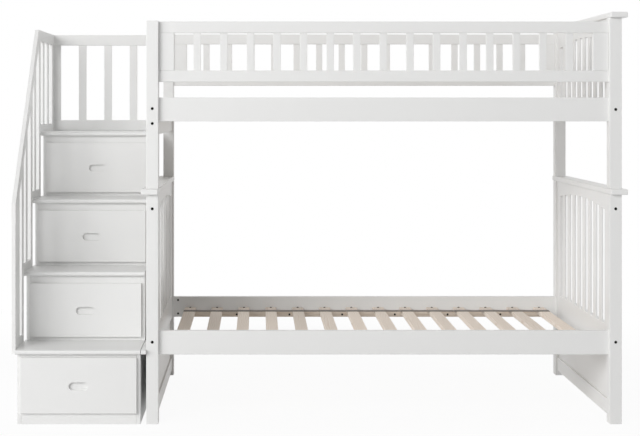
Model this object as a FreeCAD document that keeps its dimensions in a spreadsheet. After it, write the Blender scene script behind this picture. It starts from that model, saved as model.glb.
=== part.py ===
import FreeCAD, Part
import math
import os
import Sketcher

# Driving sizes in millimetres, and counts. Depths run back from the posts' front faces.
SIZES = {
    # bed posts and the caps on top of them
    "clear_length": 1905.5,
    "post_side": 51.0,
    "bed_depth": 1077.0,
    "lower_post_height": 969.0,
    "upper_post_right_rise": 15.0,
    "upper_post_left_rise": 2.5,
    "cap_thickness": 23.5,
    "cap_overhang": 21.0,
    "cap_round": 4.0,
    "edge_round": 2.5,
    # long rails beside each mattress, the lower above the floor and the upper above its posts' feet
    "rail_height": 101.0,
    "rail_thickness": 25.0,
    "rail_recess": 19.0,
    "lower_rail_base": 290.5,
    "upper_rail_base": 285.5,
    # headboard and footboard frames
    "end_recess": 8.0,
    "end_thickness": 26.0,
    "end_stile_width": 66.5,
    "spindle_count": 8,
    "spindle_width": 45.0,
    "spindle_thickness": 9.0,
    "spindle_round": 1.5,
    "arch_rise": 28.0,
    "lower_arch_depth": 71.0,
    "upper_arch_depth": 87.0,
    "mid_rail_base": 286.0,
    "mid_rail_height": 120.0,
    "bottom_rail_base": 26.0,
    "bottom_rail_height": 64.0,
    "end_panel_thickness": 10.0,
    "entry_rail_drop": 58.0,
    # long guards of the upper bunk
    "guard_gap": 66.0,
    "guard_height": 256.0,
    "guard_rail_height": 48.5,
    "guard_thickness": 22.0,
    "guard_recess": 20.0,
    "guard_stile_width": 66.0,
    "guard_slat_count": 15,
    "guard_slat_width": 31.0,
    "guard_slat_thickness": 12.0,
    # mattress supports
    "slat_count": 14,
    "slat_width": 54.0,
    "slat_thickness": 20.0,
    "slat_margin": 57.0,
    "slat_drop": 52.5,
    "slat_end_gap": 2.0,
    "slat_round": 2.0,
    "ledger_height": 25.0,
    "ledger_depth": 22.0,
    "strap_width": 50.0,
    "strap_thickness": 1.2,
    "strap_inset": 92.0,
    # bolts, barrel nuts and post pins
    "bolt_radius": 3.0,
    "bolt_play": 0.4,
    "bolt_head_radius": 6.0,
    "bolt_head_height": 4.0,
    "bolt_head_sink": 1.5,
    "bolt_head_play": 0.5,
    "bolt_socket_radius": 2.9,
    "bolt_socket_depth": 2.4,
    "bolt_reach": 32.0,
    "bolt_tip_room": 2.0,
    "nut_inset": 22.0,
    "nut_radius": 5.0,
    "nut_play": 0.2,
    "nut_sink": 1.0,
    "nut_wall": 5.0,
    "rail_bolt_inset": 17.0,
    "arch_bolt_rise": 11.0,
    "entry_bolt_base_inset": 49.0,
    "entry_bolt_top_inset": 47.0,
    "pin_radius": 6.0,
    "pin_depth": 40.0,
    "pin_play": 0.2,
    # staircase boxes
    "stair_gap": 24.0,
    "stair_width": 527.0,
    "panel_thickness": 18.0,
    "side_inset": 6.0,
    "stair_front_setback": 1.0,
    "step_count": 4,
    "first_step_height": 315.0,
    "step_rise": 302.0,
    "step_run": 228.0,
    "tread_thickness": 18.0,
    "tread_nosing": 22.0,
    "nosing_round": 7.0,
    "back_thickness": 6.0,
    "front_rail_thickness": 18.0,
    "plinth_height": 50.5,
    "step_sill_height": 18.5,
    "first_head_height": 17.0,
    "head_height": 35.5,
    "strip_gap": 3.0,
    "spacer_radius": 11.0,
    # drawers and their runners
    "drawer_front_thickness": 15.0,
    "drawer_overlap": 2.5,
    "drawer_stand_off": 0.5,
    "drawer_room": 102.0,
    "landing_drawer_room": 24.0,
    "drawer_wall_drop": 35.5,
    "drawer_wall": 12.0,
    "drawer_floor": 6.0,
    "drawer_floor_rise": 10.0,
    "drawer_box_play": 4.0,
    "drawer_rise": 22.5,
    "runner_width": 24.0,
    "runner_height": 16.0,
    "runner_play": 0.5,
    "pull_length": 82.0,
    "pull_height": 33.0,
    "pull_depth": 11.0,
    "pull_lip": 5.0,
    "pull_undercut": 7.0,
    "pull_drop": 2.5,
    # railing beside the steps and behind the landing, its heights above the first and the last tread
    "railing_thickness": 17.0,
    "handrail_width": 50.0,
    "handrail_front_height": 615.0,
    "handrail_top": 478.0,
    "handrail_bend": 595.0,
    "newel_width": 97.0,
    "step_bar_width": 46.0,
    "step_bar_setback": 30.0,
    "step_rail_height": 54.0,
    "baluster_width": 45.0,
    "baluster_thickness": 11.0,
    "landing_baluster_count": 2,
    "rear_stile_width": 72.0,
    "landing_rail_height": 52.0,
    "landing_stile_width": 34.0,
    "landing_end_stile_width": 20.0,
    "landing_slat_count": 3,
    "landing_slat_width": 37.5,
    # how far a cutting shape reaches past the face that it opens
    "cut_margin": 1.0,
}
# Limits for telling that two lines are parallel and that two points are level
PARALLEL = 0.99
LEVEL = 0.01
HEXAGON = 6


class Length:
    """A number kept together with the sheet formula that gives it."""

    def __init__(self, value, formula):
        self.value = value
        self.formula = formula

    def __add__(self, other):
        other = length(other)
        return Length(self.value + other.value, f"({self.formula} + {other.formula})")

    def __sub__(self, other):
        other = length(other)
        return Length(self.value - other.value, f"({self.formula} - {other.formula})")

    def __mul__(self, other):
        other = length(other)
        return Length(self.value * other.value, f"({self.formula} * {other.formula})")

    def __truediv__(self, other):
        other = length(other)
        return Length(self.value / other.value, f"({self.formula} / {other.formula})")

    def __neg__(self):
        return Length(-self.value, f"(-1 * {self.formula})")


def length(item):
    """Give a plain number the same form as a size."""
    if isinstance(item, Length):
        return item
    return Length(float(item), f"{item}")


def root(item):
    return Length(math.sqrt(item.value), f"sqrt({item.formula})")


class Names:
    """Sizes by name, each tied to its cell."""

    def __init__(self, sizes):
        for name, value in sizes.items():
            setattr(self, name, Length(float(value), f"Sizes.{name}"))


doc = FreeCAD.newDocument("BunkBedWithStairs")
sheet = doc.addObject("Spreadsheet::Sheet", "Sizes")
for row, (alias, number) in enumerate(SIZES.items(), start=1):
    sheet.set(f"A{row}", alias)
    sheet.set(f"B{row}", str(number))
    sheet.setAlias(f"B{row}", alias)
doc.recompute()
s = Names(SIZES)

pieces = {}
bores = {}
nodes = {}
AXES = {"x": FreeCAD.Vector(1, 0, 0), "y": FreeCAD.Vector(0, 1, 0), "z": FreeCAD.Vector(0, 0, 1)}


def place(item, at):
    """Tie an object's position to the sheet."""
    for axis, value in zip("xyz", at):
        item.setExpression(f"Placement.Base.{axis}", length(value).formula)


def block(name, at, size):
    """A plain block from its low corner and its three sizes."""
    item = doc.addObject("Part::Box", name)
    for side, value in zip(("Length", "Width", "Height"), size):
        item.setExpression(side, length(value).formula)
    place(item, at)
    return item


def rod(name, axis, at, radius, reach):
    """A round bar along one axis, from the centre of its low end."""
    item = doc.addObject("Part::Cylinder", name)
    item.Placement.Rotation = FreeCAD.Rotation(AXES["z"], AXES[axis])
    item.setExpression("Radius", length(radius).formula)
    item.setExpression("Height", length(reach).formula)
    place(item, at)
    return item


def rounded(item, radius, along="xyz", low=None):
    """Round the edges that run along the given axes, or only those at the low side of one axis."""
    doc.recompute([item])
    shape = item.Shape
    corner = shape.BoundBox.getPoint(0)
    chosen = []
    for number, edge in enumerate(shape.Edges, start=1):
        direction = edge.tangentAt(edge.FirstParameter)
        runs = [axis for axis in along if abs(direction.dot(AXES[axis])) > PARALLEL]
        if not runs:
            continue
        if low and (edge.CenterOfMass - corner).dot(AXES[low]) > LEVEL:
            continue
        chosen.append((number, radius.value, radius.value))
    fillet = doc.addObject("Part::Fillet", f"{item.Name}_rounded")
    fillet.Base = item
    fillet.Edges = chosen
    return fillet


def plate(name, points, thickness, at):
    """A flat board cut to an outline of depth and height points, with its thickness along X."""
    body = doc.addObject("PartDesign::Body", name)
    sketch = body.newObject("Sketcher::SketchObject", f"{name}_outline")
    plane = [feature for feature in body.Origin.OriginFeatures if feature.Role == "YZ_Plane"][0]
    sketch.AttachmentSupport = [(plane, "")]
    sketch.MapMode = "FlatFace"
    corners = [FreeCAD.Vector(depth.value, height.value, 0) for depth, height in points]
    count = len(corners)
    for index in range(count):
        sketch.addGeometry(Part.LineSegment(corners[index], corners[(index + 1) % count]), False)
    for index in range(count):
        sketch.addConstraint(Sketcher.Constraint("Coincident", index, 2, (index + 1) % count, 1))
    for index, corner in enumerate(points):
        for kind, value in zip(("DistanceX", "DistanceY"), corner):
            number = sketch.addConstraint(Sketcher.Constraint(kind, -1, 1, index, 1, value.value))
            sketch.setExpression(f"Constraints[{number}]", value.formula)
    pad = body.newObject("PartDesign::Pad", f"{name}_board")
    pad.Profile = sketch
    pad.setExpression("Length", length(thickness).formula)
    place(body, at)
    return body


def add(node, name, item):
    """Record a finished piece under the node that it belongs to."""
    pieces[name] = item
    nodes.setdefault(node, []).append(name)


def board(node, name, at, size, along="xyz", radius=None):
    """A board with eased edges, recorded under its node."""
    item = block(f"{name}_blank", at, size)
    add(node, name, rounded(item, radius or s.edge_round, along))


def drill(name, tool):
    """Keep a cutting shape for a piece until every piece is known."""
    bores.setdefault(name, []).append(tool)


# Main planes of the bed
staircase = s.stair_gap + s.stair_width + s.railing_thickness
bed_x = (staircase - s.cap_overhang) / 2
left_in = bed_x - s.clear_length / 2
left_out = left_in - s.post_side
right_in = bed_x + s.clear_length / 2
right_out = right_in + s.post_side
front = -s.bed_depth / 2
rear = s.bed_depth / 2
front_in = front + s.post_side
rear_in = rear - s.post_side
inner_depth = s.bed_depth - s.post_side * 2
cap_length = s.bed_depth + s.cap_overhang * 2
cap_width = s.post_side + s.cap_overhang
upper_floor = s.lower_post_height + s.cap_thickness
post_x = {"left": left_out, "right": right_in}
post_y = {"front": front, "rear": rear_in}
upper_rail_base = upper_floor + s.upper_rail_base
guard_base = upper_rail_base + s.rail_height + s.guard_gap
guard_top = guard_base + s.guard_height
upper_top = {"left": guard_top + s.upper_post_left_rise, "right": guard_top + s.upper_post_right_rise}


# Posts, with the lower ones under a cap and the upper ones standing on it
def make_posts():
    square = (s.post_side, s.post_side)
    for side, x in post_x.items():
        for face, y in post_y.items():
            lower = f"post_lower_{face}_{side}"
            upper = f"post_upper_{face}_{side}"
            board(lower, lower, (x, y, 0), (*square, s.lower_post_height))
            board(upper, upper, (x, y, upper_floor), (*square, upper_top[side] - upper_floor))


def make_cap(node, side, base):
    x = left_in - cap_width if side == "left" else right_in
    at = (x, front - s.cap_overhang, base)
    board(node, node, at, (cap_width, cap_length, s.cap_thickness), radius=s.cap_round)


# Ends of the bed: an arched top rail, spindles between stiles, and rails below
def end_x(side):
    """Low side of an end frame, which is set back from the posts' inner faces."""
    if side == "left":
        return left_in - s.end_recess - s.end_thickness
    return right_in + s.end_recess


def arched_end(node, side, spindle_base, arch_top, arch_depth):
    x = end_x(side)
    spring = arch_top - arch_depth
    chord = inner_depth - s.end_stile_width * 2
    crown = spring + s.arch_rise
    arch_radius = (chord * chord / 4 + s.arch_rise * s.arch_rise) / (s.arch_rise * 2)
    blank = block(f"{node}_arch_blank", (x, front_in, spring), (s.end_thickness, inner_depth, arch_depth))
    span_at = (x - s.cut_margin, 0, crown - arch_radius)
    span = rod(f"{node}_arch_span", "x", span_at, arch_radius, s.end_thickness + s.cut_margin * 2)
    arch = doc.addObject("Part::Cut", f"{node}_arch_cut")
    arch.Base = blank
    arch.Tool = span
    add(f"{node}_arch", f"{node}_arch", arch)
    height = spring - spindle_base
    stile_size = (s.end_thickness, s.end_stile_width, height)
    for face, y in (("front", front_in), ("rear", rear_in - s.end_stile_width)):
        board(f"{node}_spindles", f"{node}_stile_{face}", (x, y, spindle_base), stile_size, along="z")
    count = int(SIZES["spindle_count"])
    gap = (chord - s.spindle_width * count) / (count + 1)
    first = front_in + s.end_stile_width + gap
    spindle_x = x + s.end_thickness - s.spindle_thickness if side == "left" else x
    size = (s.spindle_thickness, s.spindle_width, crown - spindle_base)
    for index in range(count):
        name = f"{node}_spindle_{index + 1}"
        at = (spindle_x, first + (s.spindle_width + gap) * index, spindle_base)
        blank = rounded(block(f"{name}_blank", at, size), s.spindle_round, "z")
        spindle = doc.addObject("Part::Common", f"{name}_cut")
        spindle.Base = blank
        spindle.Tool = span
        add(f"{node}_spindles", name, spindle)


def end_rail(node, name, side, base, height):
    size = (s.end_thickness, inner_depth, height)
    board(node, name, (end_x(side), front_in, base), size, along="y")


def make_lower_end(side):
    node = f"end_lower_{side}"
    mid_top = s.mid_rail_base + s.mid_rail_height
    panel_base = s.bottom_rail_base + s.bottom_rail_height
    arched_end(node, side, mid_top, s.lower_post_height, s.lower_arch_depth)
    end_rail(f"{node}_rails", f"{node}_mid_rail", side, s.mid_rail_base, s.mid_rail_height)
    end_rail(f"{node}_rails", f"{node}_bottom_rail", side, s.bottom_rail_base, s.bottom_rail_height)
    panel_x = end_x(side) + (s.end_thickness - s.end_panel_thickness) / 2
    panel_size = (s.end_panel_thickness, inner_depth, s.mid_rail_base - panel_base)
    panel = block(f"{node}_sheet", (panel_x, front_in, panel_base), panel_size)
    add(f"{node}_panel", f"{node}_panel", panel)
    make_cap(f"{node}_cap", side, s.lower_post_height)


entry_rail_base = upper_rail_base - s.entry_rail_drop


def make_upper_ends():
    rail_top = upper_rail_base + s.rail_height
    arched_end("end_upper_right", "right", rail_top, upper_top["right"], s.upper_arch_depth)
    end_rail("end_upper_right_rail", "end_upper_right_rail", "right", upper_rail_base, s.rail_height)
    make_cap("end_upper_right_cap", "right", upper_top["right"])
    entry_height = rail_top - entry_rail_base
    end_rail("end_upper_left_rail", "end_upper_left_rail", "left", entry_rail_base, entry_height)


# Long rails, ledgers, slats and the straps that space the slats
rail_y = {"front": front + s.rail_recess, "rear": rear - s.rail_recess - s.rail_thickness}
ledger_y = {
    "front": front + s.rail_recess + s.rail_thickness,
    "rear": rear - s.rail_recess - s.rail_thickness - s.ledger_depth,
}


def make_bunk(bunk, base):
    rail_size = (s.clear_length, s.rail_thickness, s.rail_height)
    slat_top = base + s.rail_height - s.slat_drop
    slat_base = slat_top - s.slat_thickness
    slat_row = s.clear_length - s.slat_margin * 2
    ledger_size = (slat_row, s.ledger_depth, s.ledger_height)
    for face in ("front", "rear"):
        rail = f"side_rail_{bunk}_{face}"
        board(rail, rail, (left_in, rail_y[face], base), rail_size, along="x")
        at = (left_in + s.slat_margin, ledger_y[face], slat_base - s.ledger_height)
        board("slat_ledgers", f"ledger_{bunk}_{face}", at, ledger_size, along="x")
    count = int(SIZES["slat_count"])
    pitch = (slat_row - s.slat_width) / (count - 1)
    slat_y = rail_y["front"] + s.rail_thickness + s.slat_end_gap
    size = (s.slat_width, -slat_y * 2, s.slat_thickness)
    for index in range(count):
        at = (left_in + s.slat_margin + pitch * index, slat_y, slat_base)
        board(f"slats_{bunk}", f"slat_{bunk}_{index + 1}", at, size, along="y", radius=s.slat_round)
    strap_size = (slat_row, s.strap_width, s.strap_thickness)
    strap_y = {"front": slat_y + s.strap_inset, "rear": -slat_y - s.strap_inset - s.strap_width}
    for face, y in strap_y.items():
        strap = block(f"strap_{bunk}_{face}", (left_in + s.slat_margin, y, slat_top), strap_size)
        add("slat_straps", f"strap_{bunk}_{face}", strap)


# Long guards of the upper bunk
guard_y = {"front": front + s.guard_recess, "rear": rear - s.guard_recess - s.guard_thickness}
guard_top_rail_base = guard_top - s.guard_rail_height


def make_guard(face):
    y = guard_y[face]
    node = f"guard_{face}"
    rail_size = (s.clear_length, s.guard_thickness, s.guard_rail_height)
    board(f"{node}_rails", f"{node}_bottom_rail", (left_in, y, guard_base), rail_size, along="x")
    board(f"{node}_rails", f"{node}_top_rail", (left_in, y, guard_top_rail_base), rail_size, along="x")
    slat_base = guard_base + s.guard_rail_height
    slat_height = guard_top_rail_base - slat_base
    stile_size = (s.guard_stile_width, s.guard_thickness, slat_height)
    for side, x in (("left", left_in), ("right", right_in - s.guard_stile_width)):
        board(f"{node}_slats", f"{node}_stile_{side}", (x, y, slat_base), stile_size, along="z")
    count = int(SIZES["guard_slat_count"])
    room = s.clear_length - s.guard_stile_width * 2
    gap = (room - s.guard_slat_width * count) / (count + 1)
    slat_y = y + (s.guard_thickness - s.guard_slat_thickness) / 2
    size = (s.guard_slat_width, s.guard_slat_thickness, slat_height)
    for index in range(count):
        x = left_in + s.guard_stile_width + gap + (s.guard_slat_width + gap) * index
        name = f"{node}_slat_{index + 1}"
        board(f"{node}_slats", name, (x, slat_y, slat_base), size, along="z", radius=s.spindle_round)


# Socket bolts through the posts into barrel nuts, and pins between lower and upper posts
def make_bolt(name, axis, forward, face, cross, post, rail, seat):
    """One bolt from a post's outer face into a nut that sits in a blind hole across the rail."""

    def run(start, reach):
        low = face + start if forward else face - start - reach
        return (low, cross[0], cross[1]) if axis == "x" else (cross[0], low, cross[1])

    hole = s.bolt_radius + s.bolt_play
    head_hole = s.bolt_head_radius + s.bolt_head_play
    head_room = s.bolt_head_sink + s.bolt_head_height
    shank = s.post_side + s.bolt_reach - head_room
    outside = -s.cut_margin
    through = s.post_side + s.cut_margin * 2
    drill(post, rod(f"{name}_post_hole", axis, run(outside, through), hole, through))
    sunk = head_room + s.cut_margin
    drill(post, rod(f"{name}_head_hole", axis, run(outside, sunk), head_hole, sunk))
    bore = s.bolt_reach + s.bolt_tip_room + s.cut_margin
    drill(rail, rod(f"{name}_rail_hole", axis, run(s.post_side - s.cut_margin, bore), hole, bore))
    head_at = run(s.bolt_head_sink, s.bolt_head_height)
    head = rod(f"{name}_head", axis, head_at, s.bolt_head_radius, s.bolt_head_height)
    rooted = shank + s.cut_margin
    stem = rod(f"{name}_stem", axis, run(head_room - s.cut_margin, rooted), s.bolt_radius, rooted)
    solid = doc.addObject("Part::Fuse", f"{name}_solid")
    solid.Base = head
    solid.Tool = stem
    socket = doc.addObject("Part::Prism", f"{name}_socket")
    socket.Polygon = HEXAGON
    socket.Placement.Rotation = FreeCAD.Rotation(AXES["z"], AXES[axis])
    socket.setExpression("Circumradius", s.bolt_socket_radius.formula)
    socket_cut = s.bolt_socket_depth + s.cut_margin
    socket.setExpression("Height", socket_cut.formula)
    place(socket, run(s.bolt_head_sink - s.cut_margin, socket_cut))
    bolt = doc.addObject("Part::Cut", f"{name}_cut")
    bolt.Base = solid
    bolt.Tool = socket
    add("frame_bolts", name, bolt)
    along = s.post_side + s.nut_inset
    centre = face + along if forward else face - along
    nut_axis, rail_face, rail_thickness, opens_high = seat

    def across(start):
        spot = {"x": centre, "y": centre, "z": cross[1], nut_axis: rail_face + start}
        return (spot["x"], spot["y"], spot["z"])

    depth = rail_thickness - s.nut_wall
    hole_at = across(s.nut_wall if opens_high else -s.cut_margin)
    hole_radius = s.nut_radius + s.nut_play
    drill(rail, rod(f"{name}_nut_hole", nut_axis, hole_at, hole_radius, depth + s.cut_margin))
    nut_at = across(s.nut_wall if opens_high else s.nut_sink)
    nut = rod(f"{name}_nut_blank", nut_axis, nut_at, s.nut_radius, depth - s.nut_sink)
    tap = s.bolt_reach + s.cut_margin
    thread = rod(f"{name}_thread", axis, run(s.post_side, tap), s.bolt_radius, tap)
    tapped = doc.addObject("Part::Cut", f"{name}_nut_cut")
    tapped.Base = nut
    tapped.Tool = thread
    add("barrel_nuts", f"{name}_nut", tapped)


def side_bolts(rail, tier, face, y, thickness, heights):
    """Bolts into both ends of a long rail, whose nuts show only at the left end of a low rear rail."""
    for side, outer in (("left", left_out), ("right", right_out)):
        for index, height in enumerate(heights, start=1):
            name = f"bolt_{rail}_{side}_{index}"
            cross = (y + thickness / 2, height)
            post = f"post_{tier}_{face}_{side}"
            shown = rail == "side_rail_lower_rear" and side == "left"
            make_bolt(name, "x", side == "left", outer, cross, post, rail, ("y", y, thickness, not shown))


def end_bolts(rail, tier, side, heights):
    """Bolts through the front and rear posts into an end rail, whose nuts open away from the bed."""
    centre = post_x[side] + s.post_side / 2
    seat = ("x", end_x(side), s.end_thickness, side == "right")
    for face, outer in (("front", front), ("rear", rear)):
        for index, height in enumerate(heights, start=1):
            name = f"bolt_{rail}_{face}_{index}"
            post = f"post_{tier}_{face}_{side}"
            make_bolt(name, "y", face == "front", outer, (centre, height), post, rail, seat)


def make_fasteners():
    for face in ("front", "rear"):
        for tier, base in (("lower", s.lower_rail_base), ("upper", upper_rail_base)):
            heights = (base + s.rail_bolt_inset, base + s.rail_height - s.rail_bolt_inset)
            side_bolts(f"side_rail_{tier}_{face}", tier, face, rail_y[face], s.rail_thickness, heights)
        for edge, base in (("bottom", guard_base), ("top", guard_top_rail_base)):
            rail = f"guard_{face}_{edge}_rail"
            middle = base + s.guard_rail_height / 2
            side_bolts(rail, "upper", face, guard_y[face], s.guard_thickness, (middle,))
    arch_bolt = s.lower_post_height - s.lower_arch_depth + s.arch_bolt_rise
    for side in ("left", "right"):
        end_bolts(f"end_lower_{side}_arch", "lower", side, (arch_bolt,))
        end_bolts(f"end_lower_{side}_mid_rail", "lower", side, (s.mid_rail_base + s.mid_rail_height / 2,))
    end_bolts("end_upper_right_rail", "upper", "right", (upper_rail_base + s.rail_height / 2,))
    entry_top = upper_rail_base + s.rail_height
    entry = (entry_rail_base + s.entry_bolt_base_inset, entry_top - s.entry_bolt_top_inset)
    end_bolts("end_upper_left_rail", "upper", "left", entry)
    pin_length = s.pin_depth * 2 + s.cap_thickness
    pin_base = s.lower_post_height - s.pin_depth
    for side, x in post_x.items():
        for face, y in post_y.items():
            name = f"pin_{face}_{side}"
            middle = (x + s.post_side / 2, y + s.post_side / 2, pin_base)
            add("post_pins", name, rod(f"{name}_bar", "z", middle, s.pin_radius, pin_length))
            low = (middle[0], middle[1], pin_base - s.pin_play)
            hole = rod(f"{name}_hole", "z", low, s.pin_radius + s.pin_play, pin_length + s.pin_play * 2)
            drill(f"post_lower_{face}_{side}", hole)
            drill(f"post_upper_{face}_{side}", hole)
            drill(f"end_lower_{side}_cap", hole)


# Staircase boxes, stacked with a full tread between each two
stair_right = left_out - s.stair_gap
stair_left = stair_right - s.stair_width
panel_left = stair_left + s.side_inset
inside_left = panel_left + s.panel_thickness
inside_width = s.stair_width - s.side_inset - s.panel_thickness * 2
step_count = int(SIZES["step_count"])


def tread_top(step):
    return s.first_step_height + s.step_rise * (step - 1)


def box_front(step):
    return front + s.stair_front_setback + s.step_run * (step - 1)


def box_base(step):
    return tread_top(step - 1) if step > 1 else length(0)


def opening_base(step):
    return box_base(step) + (s.step_sill_height if step > 1 else s.plinth_height)


def tread_underside(step):
    return tread_top(step) - s.tread_thickness


def opening_top(step):
    return tread_underside(step) - (s.head_height if step > 1 else s.first_head_height)


def make_step(step):
    base = box_base(step)
    y = box_front(step)
    underside = tread_underside(step)
    panel = (s.panel_thickness, rear - y, underside - base)
    board("stair_sides_left", f"stair_side_left_{step}", (panel_left, y, base), panel, along="z")
    right_x = stair_right - s.panel_thickness
    board("stair_sides_right", f"stair_side_right_{step}", (right_x, y, base), panel, along="z")
    tread_front = y - s.tread_nosing
    at = (stair_left, tread_front, underside)
    tread = block(f"tread_{step}_blank", at, (s.stair_width, rear - tread_front, s.tread_thickness))
    add("stair_treads", f"tread_{step}", rounded(tread, s.nosing_round, "x", low="y"))
    back = (inside_width, s.back_thickness, underside - base)
    at = (inside_left, rear - s.back_thickness, base)
    add("stair_backs", f"stair_back_{step}", block(f"stair_back_{step}_sheet", at, back))
    sill_size = (inside_width, s.front_rail_thickness, opening_base(step) - base)
    sill_rail = block(f"sill_{step}_rail", (inside_left, y, base), sill_size)
    add("stair_front_rails", f"sill_{step}", sill_rail)
    head_size = (inside_width, s.front_rail_thickness, underside - opening_top(step))
    head_rail = block(f"head_{step}_rail", (inside_left, y, opening_top(step)), head_size)
    add("stair_front_rails", f"head_{step}", head_rail)


def drawer_depth(step):
    """The landing has the room for a shorter drawer, and the steps below share one depth."""
    tightest = step_count - 1 if step < step_count else step
    room = s.drawer_room if step < step_count else s.landing_drawer_room
    return rear - s.back_thickness - room - box_front(tightest) + s.drawer_stand_off


def finger_pull(name, centre_x, y, centre_z):
    """Rounded pocket with an undercut behind its upper lip."""
    half = (s.pull_length - s.pull_height) / 2
    radius = s.pull_height / 2
    outside = y - s.cut_margin
    reach = s.pull_depth + s.cut_margin
    low = (centre_x - half, outside, centre_z - radius)
    middle = block(f"{name}_pull_middle", low, (half * 2, reach, s.pull_height))
    ends = []
    for side, x in (("left", centre_x - half), ("right", centre_x + half)):
        ends.append(rod(f"{name}_pull_{side}", "y", (x, outside, centre_z), radius, reach))
    at = (centre_x - half, y + s.pull_lip, centre_z)
    size = (half * 2, s.pull_depth - s.pull_lip, radius + s.pull_undercut)
    return [middle, *ends, block(f"{name}_pull_undercut", at, size)]


def make_drawer(step):
    node = f"drawer_{step}"
    wall_y = box_front(step) - s.drawer_stand_off
    face_y = wall_y - s.drawer_front_thickness
    base = opening_base(step) - s.drawer_overlap
    face_width = inside_width + s.drawer_overlap * 2
    face_height = opening_top(step) + s.drawer_overlap - base
    face_size = (face_width, s.drawer_front_thickness, face_height)
    face_at = (inside_left - s.drawer_overlap, face_y, base)
    board(f"{node}_front", f"{node}_face", face_at, face_size, radius=s.spindle_round)
    centre = base + face_height / 2 - s.pull_drop
    for tool in finger_pull(node, inside_left + inside_width / 2, face_y, centre):
        drill(f"{node}_face", tool)
    depth = drawer_depth(step)
    wall_base = base + s.drawer_rise
    box_x = inside_left + s.drawer_box_play
    box_width = inside_width - s.drawer_box_play * 2
    wall_height = face_height - s.drawer_rise - s.drawer_wall_drop
    wall_size = (s.drawer_wall, depth, wall_height)
    for side, x in (("left", box_x), ("right", box_x + box_width - s.drawer_wall)):
        wall = f"{node}_wall_{side}"
        board(f"{node}_box", wall, (x, wall_y, wall_base), wall_size, along="y", radius=s.spindle_round)
    between = box_width - s.drawer_wall * 2
    within_x = box_x + s.drawer_wall
    back_size = (between, s.drawer_wall, wall_height)
    back_at = (within_x, wall_y + depth - s.drawer_wall, wall_base)
    add(f"{node}_box", f"{node}_back", block(f"{node}_back_board", back_at, back_size))
    floor_at = (within_x, wall_y, wall_base + s.drawer_floor_rise)
    floor_size = (between, depth - s.drawer_wall, s.drawer_floor)
    add(f"{node}_box", f"{node}_floor", block(f"{node}_floor_sheet", floor_at, floor_size))
    runner_y = box_front(step) + s.front_rail_thickness
    runner_size = (s.runner_width, depth, s.runner_height)
    runner_base = wall_base - s.runner_play - s.runner_height
    right_x = inside_left + inside_width - s.runner_width
    for side, x in (("left", inside_left), ("right", right_x)):
        strip = block(f"runner_{step}_{side}_strip", (x, runner_y, runner_base), runner_size)
        add("drawer_runners", f"runner_{step}_{side}", strip)


# Railing on the open side of the steps, and the one behind the landing
handrail_top = tread_top(step_count) + s.handrail_top


def baluster_count(step):
    """The first tread has the newel alone, the landing several, and each tread between them one."""
    if step == step_count:
        return int(SIZES["landing_baluster_count"])
    return 0 if step == 1 else 1


def make_railing():
    x = stair_left - s.railing_thickness
    high_front = tread_top(1) + s.handrail_front_height
    slope = (handrail_top - high_front) / s.handrail_bend
    drop = s.handrail_width * root(slope * slope + 1)
    low_front = high_front - drop
    under_top = handrail_top - s.handrail_width
    inner_bend = (under_top - low_front) / slope
    nothing = length(0)
    sloping = [
        (nothing, high_front),
        (s.handrail_bend, handrail_top),
        (inner_bend, under_top),
        (nothing, low_front),
    ]
    level = [
        (s.handrail_bend, handrail_top),
        (s.bed_depth, handrail_top),
        (s.bed_depth, under_top),
        (inner_bend, under_top),
    ]
    start = (x, front, 0)
    for name, outline in (("handrail_slope", sloping), ("handrail_level", level)):
        add("handrail", name, plate(f"{name}_plate", outline, s.railing_thickness, start))
    far = s.bed_depth + s.railing_thickness
    above = [
        (nothing, low_front),
        (inner_bend, under_top),
        (far, under_top),
        (far, handrail_top * 2),
        (nothing, handrail_top * 2),
    ]
    trim_thickness = s.railing_thickness + s.cut_margin * 2
    trim = plate("handrail_underside", above, trim_thickness, (x - s.cut_margin, front, 0))

    def upright(node, name, depth, width, base, thickness=s.railing_thickness):
        across = x + (s.railing_thickness - thickness) / 2
        size = (thickness, width, handrail_top - base)
        blank = rounded(block(f"{name}_blank", (across, front + depth, base), size), s.spindle_round, "z")
        cut = doc.addObject("Part::Cut", f"{name}_cut")
        cut.Base = blank
        cut.Tool = trim
        add(node, name, cut)

    upright("railing_stiles", "newel", nothing, s.newel_width, tread_underside(1))
    rail_start = s.newel_width
    for step in range(1, step_count + 1):
        base = tread_underside(step)
        rail_end = s.bed_depth - s.rear_stile_width
        if step < step_count:
            rail_end = s.stair_front_setback + s.step_run * step - s.step_bar_setback - s.step_bar_width
            upright("railing_stiles", f"step_bar_{step}", rail_end, s.step_bar_width, base)
        size = (s.railing_thickness, rail_end - rail_start, s.step_rail_height)
        board("railing_rails", f"step_rail_{step}", (x, front + rail_start, base), size, along="y")
        count = baluster_count(step)
        gap = (rail_end - rail_start - s.baluster_width * count) / (count + 1)
        for index in range(count):
            depth = rail_start + gap + (s.baluster_width + gap) * index
            name = f"baluster_{step}_{index + 1}"
            foot_height = base + s.step_rail_height
            upright("railing_balusters", name, depth, s.baluster_width, foot_height, s.baluster_thickness)
        rail_start = rail_end + s.step_bar_width
    last = s.bed_depth - s.rear_stile_width
    upright("railing_stiles", "rear_stile", last, s.rear_stile_width, tread_underside(step_count))


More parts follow.
